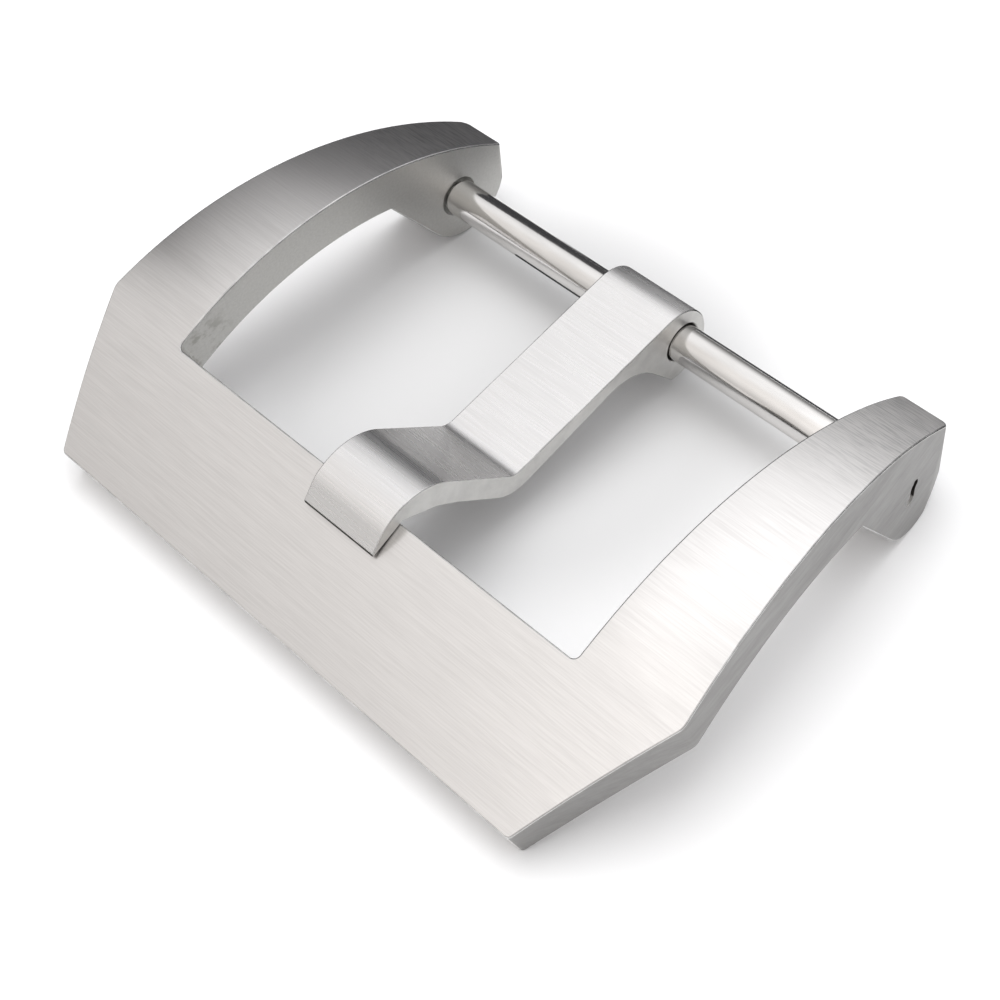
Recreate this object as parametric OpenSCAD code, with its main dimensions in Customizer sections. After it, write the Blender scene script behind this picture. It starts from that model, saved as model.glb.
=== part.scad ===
// Watch tang buckle: a curved plate with two arms, a tongue, and a tube bar held by two screws.
// Origin at the middle of the bar's axis. X runs along the bar, the plate lies toward -Y, Z is up.

/* [Strap] */
// Width of the strap, which is the gap between the ears
strap_w = 24; // [18:1:30]

/* [Frame] */
// Bar axis to the front edge of the plate
reach = 22.35; // [21.5:0.05:24]
// Height of the arch above the bar axis
arch_h = 4.6; // [4.2:0.05:5]
// Thickness of the arms and the back of the plate
metal_t = 2.16; // [1.8:0.02:2.4]
// How far the plate's corners stand out past the strap
flare = 5.05; // [4:0.05:6.5]
// Thickness of an ear at its back edge
ear_t = 2.45; // [2.2:0.05:3.4]
// Bar axis to the front edge of the window, along the top
window_l = 16.5; // [16:0.05:17]

/* [Bar and screws] */
// Outside diameter of the bar tube
bar_d = 1.76; // [1.6:0.02:2]
// Diameter of the screw's shank
screw_d = 1; // [0.8:0.05:1.1]
// Length of thread inside the tube
grip = 3.2; // [2:0.1:4.5]

/* [Tongue] */
// Width of the tongue
tongue_w = 4.2; // [3:0.1:6]
// Thickness of the tongue
tongue_t = 1.09; // [0.9:0.01:1.2]
// How far the tongue sits to the right of the middle
tongue_shift = 0.25; // [0:0.05:0.5]

/* [Hidden] */
$fn = 180;
wide = 80;

// free gaps: round the bar, round the screws, tube to ear, tip to plate
turn_gap = 0.08;
screw_gap = 0.03;
end_gap = 0.03;
rest_gap = 0.03;

// top of the frame: the arch runs from the ears to meet_y, a flatter arc from there to the front
arch_r = 19.63;
nose_r = 32.8;
arch_y = -7.97;
meet_y = -15.45;
arch_c = [arch_y, arch_h - arch_r];
lean = [meet_y - arch_y, sqrt(arch_r * arch_r - pow(meet_y - arch_y, 2))] / arch_r;
nose_c = arch_c + (arch_r - nose_r) * lean;
function arch_z(y) = arch_c[1] + sqrt(arch_r * arch_r - pow(y - arch_c[0], 2));
function nose_z(y) = nose_c[1] + sqrt(nose_r * nose_r - pow(y - nose_c[0], 2));
function top_z(y) = y > meet_y ? arch_z(y) : nose_z(y);

// the outline and the window are cut along a line that leans forward by this angle
tilt = 19.05;
down = [sin(tilt), -cos(tilt)];
function along(y, z) = y * cos(tilt) + z * sin(tilt);

// underside of the plate: leaves the arms smoothly and ends at the foot of the front face
front_face = 1.84;
front_foot = [-reach, nose_z(-reach)] + front_face * down;
under_start = arch_c + (arch_r - metal_t) * lean;
under_r = pow(norm(front_foot - under_start), 2) / (2 * (under_start - front_foot) * lean);
under_c = under_start - under_r * lean;

// ears, seen from the side
ear_r = 2.55;
ear_z = 0.1;
rear_y = 3;
ear_c = [rear_y - ear_r, ear_z];
ear_lean = 35.6;
ear_foot = ear_c - ear_r * [cos(ear_lean), sin(ear_lean)];
ear_rise = 5.2;
ear_notch = ear_foot + ear_rise * [-sin(ear_lean), cos(ear_lean)];
top_back = [rear_y, arch_z(rear_y)];
top_run = [arch_c[1] - top_back[1], rear_y - arch_y] / arch_r;

// plan, half widths: at the front edge, the plate's corner and the back of the ears
inner_half = strap_w / 2;
front_flare = 2;
front_half = inner_half + front_flare;
corner_y = -16.05;
corner_half = inner_half + flare;
rear_half = inner_half + ear_t;
front_v = along(-reach, nose_z(-reach));
corner_v = along(corner_y, top_z(corner_y));
rear_v = along(rear_y, top_back[1]);
window_v = along(-window_l, top_z(-window_l));
corner_p = [corner_half, corner_v];
rear_p = [rear_half, rear_v];

// each arm's outer side is a very long arc through the corner and the back of the ear
bow = 0.15;
side_l = norm(rear_p - corner_p);
side_run = (rear_p - corner_p) / side_l;
side_out = [side_run[1], -side_run[0]];
bow_r = (side_l * side_l / 4 + bow * bow) / (2 * bow);
bow_c = (corner_p + rear_p) / 2 - (bow_r - bow) * side_out;
bow_turn = asin(side_l / 2 / bow_r);
function bow_point(t) = bow_c + bow_r * (side_out * cos(bow_turn * (2 * t - 1)) +
    side_run * sin(bow_turn * (2 * t - 1)));
corner_r = 0.8;
front_r = 0.3;
window_r = 0.3;
ear_out_r = 0.7;
ear_in_r = 0.3;
ear_top_r = 0.3;

// where the outer side of an ear lies at a point of the side view, and how its back edge leans
function out_x(y, z) = bow_c[0] + sqrt(bow_r * bow_r - pow(along(y, z) - bow_c[1], 2));
back_lean = atan((out_x(rear_y, 0) - out_x(rear_y, 1)) / 1);
back_slope = unit([out_x(rear_y - 1, 0) - out_x(rear_y, 0), -1]);

// screws
head_step = 0.15;
head_d = screw_d + 2 * head_step;
head_x = inner_half + ear_t * 0.55;
sink_step = 0.145;
sink_r = bar_d / 2 + sink_step;
sink_l = 0.3;
slot_w = 0.4;
slot_deep = 0.25;
slot_turn = 58.6;
left_slot_turn = 24;

// tongue, seen from the side: eye, strip, bend, slope, crest and tip
eye_wall = 1.02;
eye_r = bar_d / 2 + eye_wall;
eye_y = -0.45;
eye_z = -0.02;
eye_c = [eye_y, eye_z];
eye_flat = 1.44;
flat_turn = 221;
bend_in = 6.11;
bend_z = 0.12;
bend = [bend_in - window_l, bend_z];
slope_turn = 39;
bend_r = 0.9;
crest_r = 2.73;
blend_r = 2.6;
tip_over = 1.62;
tip_y = -window_l - tip_over;
tip_t = 0.7;
tip_lift = 0.2;
tip_r = 0.4;
tip_run = 0.6;
seat_in = 0.1;
seat_y = seat_in - window_l;
hollow_in = 1.9;
hollow_l = 1;
hollow_deep = 0.12;
hollow_y = hollow_in - window_l;
strip_turn = asin(eye_r / norm(eye_c - bend)) + atan2(eye_c[1] - bend[1], eye_c[0] - bend[0]);
strip_run = [cos(strip_turn), sin(strip_turn)];
slope_run = [-cos(slope_turn), sin(slope_turn)];
slope_in = -[slope_run[1], -slope_run[0]];
strip_in = [strip_run[1], -strip_run[0]];
under_bend = meet(bend + tongue_t * strip_in, strip_run, bend + tongue_t * slope_in, slope_run);
under_run = unit([1, 0.235]);
function under_z(y) = under_bend[1] + (under_bend[0] - y) * tan(slope_turn);
seat_run = unit([nose_z(tip_y + tip_run) - nose_c[1], nose_c[0] - tip_y - tip_run]);
tip_foot = [tip_y, top_z(tip_y) + tip_lift];
tip_top = tip_foot + [0, tip_t];
crest = meet(bend, slope_run, tip_top, seat_run);
seat = [seat_y, top_z(seat_y) + rest_gap];
flat_out = [cos(flat_turn), sin(flat_turn)];
flat_run = [-flat_out[1], flat_out[0]];
flat_p = eye_c + eye_flat * flat_out;
under_eye = meet(under_bend, under_run, flat_p, flat_run);

function unit(v) = v / norm(v);
function cross2(a, b) = a[0] * b[1] - a[1] * b[0];
// where the line through p along a crosses the line through q along b
function meet(p, a, q, b) = p + a * cross2(q - p, b) / cross2(a, b);

module disc(c, r) translate(c) circle(r = r);

// a shape drawn as [y, z] and drawn out along X
module across(w) rotate([90, 0, 90]) linear_extrude(w, center = true) children();

// a shape drawn in plan and drawn out along the leaning line
module leaning() rotate([tilt, 0, 0]) linear_extrude(40, center = true) children();

module both_sides() {
  children();
  mirror([1, 0, 0]) children();
}

// what lies between the corner p of the tongue, with sides along a and b, and an arc touching both
module web(p, a, b, r) {
  mid = unit(a + b);
  half = acos(a * b) / 2;
  at = p + a * r / tan(half);
  bt = p + b * r / tan(half);
  difference() {
    polygon([p - 0.3 * mid, at - 0.1 * mid, at, bt, bt - 0.1 * mid]);
    disc(p + mid * r / sin(half), r);
  }
}

// everything in front of the line where the two arcs meet
module front_part() {
  intersection() {
    children();
    polygon([
      arch_c - 60 * lean, arch_c + 40 * lean, arch_c + 40 * lean - [60, 0], arch_c - 60 * lean - [90, 0]
    ]);
  }
}

// side view of the arms and the plate: the arch and the flatter front arc, less the hollow under them
module band_side() {
  intersection() {
    difference() {
      union() {
        disc(arch_c, arch_r);
        front_part() disc(nose_c, nose_r);
      }
      disc(arch_c, arch_r - metal_t);
      front_part() disc(under_c, under_r);
    }
    polygon([
      [-reach - 6, arch_h + 3], [rear_y, arch_h + 3], [rear_y, ear_z], ear_c, arch_c, [-reach - 6, arch_c[1]]
    ]);
  }
}

// side view of an ear, up into the arm
module ear_side() {
  intersection() {
    disc(arch_c, arch_r - metal_t / 8);
    union() {
      disc(ear_c, ear_r);
      polygon([ear_c, ear_foot, ear_notch, [rear_y, arch_h + 2], [rear_y, ear_z]]);
    }
  }
}

// the points of an arc that rounds the corner q between p and s
function rounded(p, q, s, r, n = 5) =
  let (a = unit(p - q), b = unit(s - q), half = acos(a * b) / 2, c = q + unit(a + b) * r / sin(half),
       from = q + a * r / tan(half) - c, to = q + b * r / tan(half) - c,
       start = atan2(from[1], from[0]), turn = (atan2(to[1], to[0]) - start + 540) % 360 - 180)
  [for (k = [0:n]) c + r * [cos(start + turn * k / n), sin(start + turn * k / n)]];

// the same points on the left side, in the order that closes the shape
function flip(pts) = [for (k = [len(pts) - 1:-1:0]) [-pts[k][0], pts[k][1]]];

// plan of the whole frame, right half and left half
module outline() {
  front_p = [front_half, front_v];
  sides = [for (k = [0:8]) bow_point(k / 8)];
  half = [
    each rounded([0, front_v], front_p, corner_p, front_r),
    each rounded(front_p, corner_p, sides[1], corner_r),
    each [for (k = [1:8]) sides[k]],
    [rear_half, rear_v + 6]
  ];
  polygon(concat(half, flip(half)));
}

module window() {
  half = [
    [inner_half, rear_v + 9],
    each rounded([inner_half, 0], [inner_half, window_v], [0, window_v], window_r)
  ];
  polygon(concat(half, flip(half)));
}

// what lies outside a rounded corner at q; its first and last chords run on past the sides
module corner_cut(p, q, s, r) {
  arc = rounded(p, q, s, r);
  last = len(arc) - 1;
  from = 1.5 * arc[0] - 0.5 * arc[1];
  to = 1.5 * arc[last] - 0.5 * arc[last - 1];
  out = unit(2 * q - p - s) * 0.3;
  polygon([q + out, from + out, from, each [for (k = [1:last - 1]) arc[k]], to, to + out]);
}

// the hole through one ear: mouth for the tube's end, shank, head
module screw_hole() {
  rotate([0, 90, 0]) {
    cylinder(r = screw_d / 2 + screw_gap, h = inner_half + 10);
    translate([0, 0, head_x - screw_gap]) cylinder(r = head_d / 2 + screw_gap, h = 10);
    translate([0, 0, inner_half - 1]) cylinder(r = sink_r, h = 1);
    translate([0, 0, inner_half]) cylinder(r1 = sink_r, r2 = sink_r - sink_l, h = sink_l);
  }
}

// rounds the back edges of one ear
module ear_edges() {
  linear_extrude(12, center = true)
    corner_cut([inner_half + 1, rear_y], [inner_half, rear_y], [inner_half, rear_y - 1], ear_in_r);
  translate([out_x(rear_y, 0), rear_y, 0]) rotate([0, -back_lean, 0])
    linear_extrude(12, center = true) corner_cut([-1, 0], [0, 0], back_slope, ear_out_r);
}

module frame() {
  color("silver") difference() {
    intersection() {
      across(wide) {
        band_side();
        ear_side();
      }
      leaning() difference() {
        outline();
        window();
      }
    }
    across(wide) corner_cut(top_back - [0, 1], top_back, top_back - top_run, ear_top_r);
    both_sides() {
      screw_hole();
      ear_edges();
    }
  }
}

module tongue_side() {
  difference() {
    union() {
      intersection() {
        disc(eye_c, eye_r);
        translate(flat_p) rotate(flat_turn) translate([-10, -10]) square([10, 20]);
      }
      polygon([
        eye_c + eye_r * [-strip_run[1], strip_run[0]], bend, crest, tip_top,
        tip_foot, seat,
        [hollow_y, under_z(hollow_y) - hollow_deep], [hollow_y + hollow_l, under_z(hollow_y + hollow_l)],
        under_bend, under_eye, flat_p, eye_c
      ]);
      web(bend, strip_run, slope_run, bend_r);
      web(under_eye, -under_run, flat_run, blend_r);
    }
    web(under_bend, under_run, slope_run, bend_r + tongue_t);
    web(crest, -slope_run, -seat_run, crest_r);
    web(tip_top, seat_run, [0, -1], tip_r);
    circle(r = bar_d / 2 + turn_gap);
  }
}

module tongue() {
  color("gainsboro") translate([tongue_shift, 0, 0]) across(tongue_w) tongue_side();
}

module bar_tube() {
  tube_l = strap_w - 2 * end_gap;
  color("lightgray") rotate([0, 90, 0]) difference() {
    cylinder(r = bar_d / 2, h = tube_l, center = true);
    both_sides_of_bar() translate([0, 0, tube_l / 2 - grip - 0.6])
      cylinder(r = screw_d / 2 + screw_gap, h = grip + 5);
  }
}

module both_sides_of_bar() {
  children();
  mirror([0, 0, 1]) children();
}

// a screw in the right ear; its head is dressed flush with the ear's outer side
module screw(turn) {
  color("darkgray") difference() {
    intersection() {
      rotate([0, 90, 0]) {
        translate([0, 0, inner_half - grip]) cylinder(r = screw_d / 2, h = grip + 3);
        translate([0, 0, head_x]) cylinder(r = head_d / 2, h = 6);
      }
      leaning() outline();
    }
    rotate([turn, 0, 0]) translate([out_x(0, 0) - slot_deep, -head_d, -slot_w / 2])
      cube([6, 2 * head_d, slot_w]);
  }
}

module screw_right() screw(slot_turn);

module screw_left() mirror([1, 0, 0]) screw(left_slot_turn);

frame();
tongue();
bar_tube();
screw_left();
screw_right();
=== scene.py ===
import bpy
import bmesh
import math
from mathutils import Matrix, Quaternion, Vector


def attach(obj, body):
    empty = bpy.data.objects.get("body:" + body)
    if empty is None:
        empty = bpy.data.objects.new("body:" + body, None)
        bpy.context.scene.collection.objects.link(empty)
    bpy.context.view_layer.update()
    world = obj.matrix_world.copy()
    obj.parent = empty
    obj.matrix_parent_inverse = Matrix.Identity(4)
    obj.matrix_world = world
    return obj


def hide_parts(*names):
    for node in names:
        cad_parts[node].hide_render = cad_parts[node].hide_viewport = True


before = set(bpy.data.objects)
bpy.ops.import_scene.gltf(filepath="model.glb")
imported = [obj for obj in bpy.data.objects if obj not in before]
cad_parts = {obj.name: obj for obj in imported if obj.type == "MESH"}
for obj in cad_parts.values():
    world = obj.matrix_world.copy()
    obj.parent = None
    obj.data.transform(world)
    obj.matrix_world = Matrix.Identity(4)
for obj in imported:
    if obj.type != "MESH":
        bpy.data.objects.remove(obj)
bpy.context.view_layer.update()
mm = 0.001  # shapes are drawn in millimetres and scaled to metres at the end
hair = 1e-5  # in millimetres, closer than this is the same place
sideFacing, endFacing = 0.5, 0.9  # the least share of X in the normal of a side face and of an end face
print("solids loaded")

camera = {
    "place": (42.980, -44.141, 63.984),
    "turn": (38.7474, 4.3632, 45.6733),
    "lens": 71.143,
    "sensor": 36,
    "clip": (0.005, 20),
}


def setCamera():
    data = bpy.data.cameras.new("camera")
    data.lens = camera["lens"]
    data.sensor_width = camera["sensor"]
    data.clip_start, data.clip_end = camera["clip"]
    thing = bpy.data.objects.new("camera", data)
    thing.location = [c * mm for c in camera["place"]]
    thing.rotation_euler = [math.radians(a) for a in camera["turn"]]
    bpy.context.scene.collection.objects.link(thing)
    bpy.context.scene.camera = thing


setCamera()
print("camera set")


def join(tree, value, socket):  # value is a number, a colour or another node's output
    if isinstance(value, bpy.types.NodeSocket):
        tree.links.new(value, socket)
    else:
        socket.default_value = value


def reckon(tree, operation, *values, clamp=False):
    node = tree.nodes.new("ShaderNodeMath")
    node.operation = operation
    node.use_clamp = clamp
    for value, socket in zip(values, node.inputs):
        join(tree, value, socket)
    return node.outputs[0]


def spread(tree, source, low, high, start=0, end=1, way="LINEAR"):
    node = tree.nodes.new("ShaderNodeMapRange")
    node.interpolation_type = way
    names = ("Value", "From Min", "From Max", "To Min", "To Max")
    for value, name in zip((source, low, high, start, end), names):
        join(tree, value, node.inputs[name])
    return node.outputs["Result"]


def blend(tree, share, a, b, kind="RGBA"):
    node = tree.nodes.new("ShaderNodeMix")
    node.data_type = kind
    for value, name in ((share, "Factor"), (a, "A"), (b, "B")):
        join(tree, value, node.inputs[name])
    return node.outputs["Result"]


def scaled(tree, colour, factor):
    node = tree.nodes.new("ShaderNodeVectorMath")
    node.operation = "SCALE"
    join(tree, colour, node.inputs[0])
    join(tree, factor, node.inputs["Scale"])
    return node.outputs["Vector"]


def objectPlace(tree):
    return tree.nodes.new("ShaderNodeTexCoord").outputs["Object"]


def placeAlong(tree, axis):
    split = tree.nodes.new("ShaderNodeSeparateXYZ")
    tree.links.new(objectPlace(tree), split.inputs[0])
    return split.outputs[axis]


def distanceTo(tree, spot):  # spot is in millimetres
    node = tree.nodes.new("ShaderNodeVectorMath")
    node.operation = "DISTANCE"
    node.inputs[1].default_value = [c * mm for c in spot]
    tree.links.new(objectPlace(tree), node.inputs[0])
    return node.outputs["Value"]


# light and dark are the two ends of the grain, and rough goes with them; stretch draws the shine out across
# the lines; fine and coarse are grain per metre on X, Y and Z, then the noise's detail; bump is its strength
# and its depth in metres; marks are a second tone in one place of a piece, given in millimetres
finishes = {
    "top": {
        "light": (0.765, 0.75, 0.74),
        "dark": (0.695, 0.68, 0.67),
        "rough": (0.28, 0.35),
        "stretch": 0.8,
        "fine": ((450, 17000, 17000), 2),
        "coarse": ((130, 5000, 5000), 2),
        "coarseShare": 0.25,
        "coarseBump": True,
        "bump": (0.25, 0.00001),
        "marks": (0.5, 0.495, 0.49),
        "marksGrain": ((1000, 14000, 14000), 2),
        "marksRange": (0.44, 0.66),
        "marksFrom": (-6, 0),
    },
    # the sides' dark colour is partly a coarser finish, partly painted shade
    "side": {
        "light": (0.35, 0.345, 0.34),
        "dark": (0.29, 0.285, 0.28),
        "rough": (0.36, 0.46),
        "stretch": 0.4,
        "fine": ((5000, 500, 7000), 3),
        "coarse": ((300, 120, 900), 2),
        "coarseShare": 0.5,
        "bump": (0.2, 0.000008),
    },
    "inside": {
        "light": (0.6, 0.595, 0.575),
        "dark": (0.56, 0.555, 0.535),
        "rough": (0.42, 0.5),
        "fine": ((9000, 7000, 9000), 3),
        "bump": (0.08, 0.000008),
        "marks": (0.42, 0.415, 0.39),
        "marksGrain": ((700, 1300, 1900), 4),
        "marksRange": (0.5, 0.62),
        "marksAt": (-12, -15.2, 1.9),
        "marksReach": (1.9, 0.76),
    },
    "edge": {
        "light": (0.66, 0.655, 0.645),
        "dark": (0.46, 0.455, 0.45),
        "rough": (0.2, 0.3),
        "fine": ((900, 900, 900), 3),
    },
    "tongueTop": {
        "light": (0.8, 0.79, 0.785),
        "dark": (0.75, 0.74, 0.735),
        "rough": (0.25, 0.32),
        "stretch": 0.8,
        "fine": ((400, 15000, 15000), 1),
        "coarse": ((130, 5000, 5000), 2),
        "coarseShare": 0.3,
        "bump": (0.08, 0.00001),
    },
    "tongueSide": {
        "light": (0.66, 0.655, 0.635),
        "dark": (0.6, 0.595, 0.58),
        "rough": (0.34, 0.44),
        "fine": ((4000, 1500, 1500), 4),
        "bump": (0.15, 0.000008),
    },
    # painted shadow: a dark line where the tip meets the plate
    "foot": {
        "light": (0.06, 0.055, 0.05),
        "dark": (0.03, 0.028, 0.025),
        "rough": (0.4, 0.5),
        "fine": ((3000, 3000, 3000), 2),
    },
    # painted light: the slot's dark upper part is painted shade, its light lower end a painted highlight
    "slot": {
        "light": (0.95, 0.94, 0.92),
        "dark": (0.09, 0.085, 0.08),
        "rough": (0.45, 0.55),
        "fine": ((3000, 3000, 3000), 2),
        "paintedHighlightTo": (-0.42, -0.24),
    },
    "tube": {
        "light": (0.76, 0.745, 0.73),
        "dark": (0.68, 0.665, 0.65),
        "rough": (0.1, 0.16),
        "fine": ((300, 1500, 1500), 2),
    },
    "screw": {
        "light": (0.62, 0.615, 0.6),
        "dark": (0.42, 0.415, 0.41),
        "rough": (0.3, 0.4),
        "fine": ((5000, 500, 7000), 3),
    },
}
colourRange = (0.35, 0.65)  # the part of the noise between the dark and the light tone
roughRange = (0.3, 0.7)


def grain(tree, lines, detail):  # noise drawn out along the brushing
    mapping = tree.nodes.new("ShaderNodeMapping")
    mapping.inputs["Scale"].default_value = lines
    noise = tree.nodes.new("ShaderNodeTexNoise")
    noise.inputs["Scale"].default_value = 1
    noise.inputs["Detail"].default_value = detail
    noise.inputs["Roughness"].default_value = 0.6
    tree.links.new(objectPlace(tree), mapping.inputs["Vector"])
    tree.links.new(mapping.outputs["Vector"], noise.inputs["Vector"])
    return noise.outputs["Fac"]


def stretchShine(tree, shader, amount):
    way = tree.nodes.new("ShaderNodeTangent")
    way.direction_type = "UV_MAP"
    way.uv_map = "grainWay"
    shader.inputs["Anisotropic"].default_value = amount
    tree.links.new(way.outputs["Tangent"], shader.inputs["Tangent"])


def makeSteel(name, finish):  # what all the finishes share: grain, colour, roughness and bump
    material = bpy.data.materials.new(name)
    material.use_nodes = True
    tree = material.node_tree
    shader = tree.nodes["Principled BSDF"]
    shader.inputs["Metallic"].default_value = 1
    if "stretch" in finish:
        stretchShine(tree, shader, finish["stretch"])
    fine = grain(tree, *finish["fine"])
    both = fine
    if "coarse" in finish:
        both = blend(tree, finish["coarseShare"], fine, grain(tree, *finish["coarse"]), "FLOAT")
    ramp = tree.nodes.new("ShaderNodeValToRGB")
    for stop, place, tone in zip(ramp.color_ramp.elements, colourRange, ("dark", "light")):
        stop.position = place
        stop.color = (*finish[tone], 1)
    tree.links.new(both, ramp.inputs["Fac"])
    tree.links.new(ramp.outputs["Color"], shader.inputs["Base Color"])
    smooth, coarse = finish["rough"]
    tree.links.new(spread(tree, both, *roughRange, coarse, smooth), shader.inputs["Roughness"])
    if "bump" in finish:
        bump = tree.nodes.new("ShaderNodeBump")
        bump.inputs["Strength"].default_value, bump.inputs["Distance"].default_value = finish["bump"]
        tree.links.new(both if "coarseBump" in finish else fine, bump.inputs["Height"])
        tree.links.new(bump.outputs["Normal"], shader.inputs["Normal"])
    return material


def markBy(material, near, finish):  # near is 1 where the marks are at their strongest
    tree = material.node_tree
    base = tree.nodes["Principled BSDF"].inputs["Base Color"]
    clean = base.links[0].from_socket
    patches = spread(tree, grain(tree, *finish["marksGrain"]), *finish["marksRange"])
    share = reckon(tree, "MULTIPLY", near, patches)
    tree.links.new(blend(tree, share, clean, (*finish["marks"], 1)), base)


def brushedTop():  # long fine lines across the buckle, with short dark streaks toward the ears
    finish = finishes["top"]
    material = makeSteel("brushedTop", finish)
    tree = material.node_tree
    start, full = finish["marksFrom"]
    markBy(material, spread(tree, placeAlong(tree, "Y"), start * mm, full * mm), finish)
    return material


def brushedSideShade():  # lines along the edge of the buckle; their darker colour is partly a coarser finish and partly painted shade
    return makeSteel("brushedSideShade", finishes["side"])


def mattInside():  # milled walls, with cutter marks in the front corner of the window, on the left
    finish = finishes["inside"]
    material = makeSteel("mattInside", finish)
    tree = material.node_tree
    start, full = finish["marksReach"]
    markBy(material, spread(tree, distanceTo(tree, finish["marksAt"]), start * mm, full * mm), finish)
    return material


def brokenEdge():  # the small break along every edge
    return makeSteel("brokenEdge", finishes["edge"])


def brushedTongue():
    return makeSteel("brushedTongue", finishes["tongueTop"])


def tongueSide():
    return makeSteel("tongueSide", finishes["tongueSide"])


# painted contact shadow under the tip
def tipPaintedShadow():
    return makeSteel("footPaintedShadow", finishes["foot"])


def slotPaintedLight():  # painted light in the slot: dark above as painted shade, with a painted highlight on its lower end only
    finish = finishes["slot"]
    material = makeSteel("slotPaintedLight", finish)
    tree = material.node_tree
    ramp = tree.nodes["Principled BSDF"].inputs["Base Color"].links[0].from_node
    low, high = finish["paintedHighlightTo"]
    height = spread(tree, placeAlong(tree, "Z"), low * mm, high * mm, 1, 0)
    tree.links.new(height, ramp.inputs["Fac"])
    return material


def polishedTube():
    return makeSteel("polishedTube", finishes["tube"])


def screwSteel():
    return makeSteel("screwSteel", finishes["screw"])


def toObject(bm, name):
    mesh = bpy.data.meshes.new(name)
    bm.to_mesh(mesh)
    bm.free()
    thing = bpy.data.objects.new(name, mesh)
    bpy.context.scene.collection.objects.link(thing)
    return thing


def finishPiece(bm, name, body, materials):
    bmesh.ops.scale(bm, vec=(mm, mm, mm), verts=bm.verts)
    piece = toObject(bm, name)
    for material in materials:
        piece.data.materials.append(material)
    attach(piece, body)
    return piece


def useModifiers(piece):  # replaces the mesh by what its modifiers make of it
    graph = bpy.context.evaluated_depsgraph_get()
    graph.update()
    done = bpy.data.meshes.new_from_object(piece.evaluated_get(graph), depsgraph=graph)
    old = piece.data
    piece.modifiers.clear()
    piece.data = done
    bpy.data.meshes.remove(old)


def cutAway(piece, cutter, finish):  # cutter is a bmesh in millimetres
    bmesh.ops.recalc_face_normals(cutter, faces=cutter.faces)
    bmesh.ops.scale(cutter, vec=(mm, mm, mm), verts=cutter.verts)
    for face in cutter.faces:
        face.material_index = finish
    tool = toObject(cutter, "cutter")
    cut = piece.modifiers.new("cut", "BOOLEAN")
    cut.operation = "DIFFERENCE"
    cut.solver = "EXACT"
    cut.object = tool
    useModifiers(piece)
    bpy.data.objects.remove(tool)


shading = {
    "softTo": 34,  # degrees, soft over the edge breaks and sharp at real edges
    "onSurface": 0.02,
    "frameAgrees": 0.992,  # cosines of the most that a face may lean from the real surface
    "tongueAgrees": 0.985,
}


def smoothShading(piece):
    mesh = piece.data
    mesh.polygons.foreach_set("use_smooth", [True] * len(mesh.polygons))
    mesh.set_sharp_from_angle(angle=math.radians(shading["softTo"]))


def trueShading(piece, surfaceAt, edgeFinish):  # normals of the real curves, so the strips don't show
    smoothShading(piece)
    mesh = piece.data
    usual = [corner.vector.copy() for corner in mesh.corner_normals]
    normals, flats = list(usual), {}
    for face in mesh.polygons:
        if face.material_index == edgeFinish:
            continue
        for k in face.loop_indices:
            spot = mesh.loops[k].vertex_index
            normals[k] = surfaceAt(mesh.vertices[spot].co / mm, face.normal) or usual[k]
            flats.setdefault(spot, []).append(normals[k])
    for face in mesh.polygons:
        if face.material_index == edgeFinish:
            for k in face.loop_indices:
                near = flats.get(mesh.loops[k].vertex_index, [usual[k]])
                normals[k] = max(near, key=lambda n: n.dot(face.normal))
    mesh.normals_split_custom_set(normals)


def markGrain(bm, sideFaces):  # u runs across the brush lines; only its direction counts, not its scale
    layer = bm.loops.layers.uv.new("grainWay")
    for face in bm.faces:
        n = face.normal
        for loop in face.loops:
            p = loop.vert.co
            u = p.z if face in sideFaces or abs(n.z) < abs(n.y) else p.y
            v = p.y if face in sideFaces else p.x
            loop[layer].uv = (u * 0.05 + 0.5, v * 0.02 + 0.5)


def pick(geom, kind):
    return [g for g in geom if isinstance(g, kind)]


def everything(bm):
    return bm.verts[:] + bm.edges[:] + bm.faces[:]


def inOrder(bm):  # the same mesh in one fixed order, because extruding gives another order each run
    places = sorted(tuple(v.co) for v in bm.verts)
    rank = {place: k for k, place in enumerate(places)}
    pairs = sorted(sorted(rank[tuple(v.co)] for v in e.verts) for e in bm.edges)
    rings = []
    for f in bm.faces:
        ring = [rank[tuple(v.co)] for v in f.verts]
        first = ring.index(min(ring))
        rings.append(ring[first:] + ring[:first])
    bm.free()
    done = bmesh.new()
    points = [done.verts.new(place) for place in places]
    for a, b in pairs:
        done.edges.new((points[a], points[b]))
    for ring in sorted(rings):
        done.faces.new([points[k] for k in ring])
    done.normal_update()
    return done


def slab(outline, x, width):  # a plate with this (y, z) outline, from x on
    bm = bmesh.new()
    face = bm.faces.new([bm.verts.new((x, y, z)) for y, z in outline])
    made = bmesh.ops.extrude_face_region(bm, geom=[face])
    bmesh.ops.translate(bm, vec=(width, 0, 0), verts=pick(made["geom"], bmesh.types.BMVert))
    return bm


def roundStack(profile, steps):  # spins (x, radius) points round the bar's axis
    bm = bmesh.new()
    points = [bm.verts.new((x, r, 0)) for x, r in profile]
    edges = [bm.edges.new(pair) for pair in zip(points, points[1:])]
    bmesh.ops.spin(
        bm, geom=points + edges, cent=(0, 0, 0), axis=(1, 0, 0), angle=math.tau, steps=steps, use_merge=True
    )
    bmesh.ops.remove_doubles(bm, verts=bm.verts, dist=hair)
    bmesh.ops.recalc_face_normals(bm, faces=bm.faces)
    return bm


def breakEdges(bm, edges, width, finish, clamp):
    broken = bmesh.ops.bevel(
        bm, geom=edges, offset=width, offset_type="OFFSET", segments=3, profile=0.5,
        affect="EDGES", clamp_overlap=clamp, material=-1,
    )
    for face in broken["faces"]:
        face.material_index = finish


def cornerCentre(p, a, b, r):  # centre of the arc that touches both sides of a corner
    a, b = Vector(a).normalized(), Vector(b).normalized()
    return Vector(p) + (a + b).normalized() * (r / math.sin(a.angle(b) / 2))


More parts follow.
